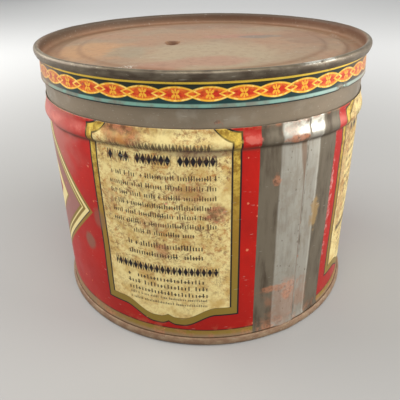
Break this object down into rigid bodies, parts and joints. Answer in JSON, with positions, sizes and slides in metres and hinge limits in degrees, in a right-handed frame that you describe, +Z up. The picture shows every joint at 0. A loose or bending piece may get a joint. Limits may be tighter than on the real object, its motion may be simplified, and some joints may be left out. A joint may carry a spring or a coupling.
{
  "type": "coffee tin",
  "caption": "Round key-opened coffee tin with lithographed sides, bare inner collar, double-seamed ends and a lift-off lid cut from its own upper band.",
  "frame": {"origin": "centre of the base, on the plane the base seam stands on", "axes": "+Z up along the tin's axis; -Y is the front, towards the label panel; +X to the right seen from the front"},
  "size_m": [0.13, 0.13, 0.105],
  "materials": {
    "litho_body": "satin lithographed enamel, scuffed and speckled with rust",
    "litho_border": "glossy lithographed enamel",
    "bare_tinplate": "dull, brown-grey oxidised tin",
    "lid_tinplate": "satin with tan patina and light rust",
    "solder": "dull wiped solder",
    "compound": "matt"
  },
  "bodies": {
    "can": {"body_shell": "litho_body", "body_side_seam_solder": "solder", "inner_collar": "bare_tinplate", "bottom_end": "bare_tinplate", "bottom_seam_compound": "compound"},
    "lid": {"lid_skirt": "litho_border", "lid_side_seam_solder": "solder", "lid_end_panel": "lid_tinplate", "lid_seam_compound": "compound"}
  },
  "joints": [
    {"name": "lid_lift", "type": "slide", "parent": "can", "child": "lid", "axis": [0, 0, 1], "range_m": [0, 0.06]}
  ]
}
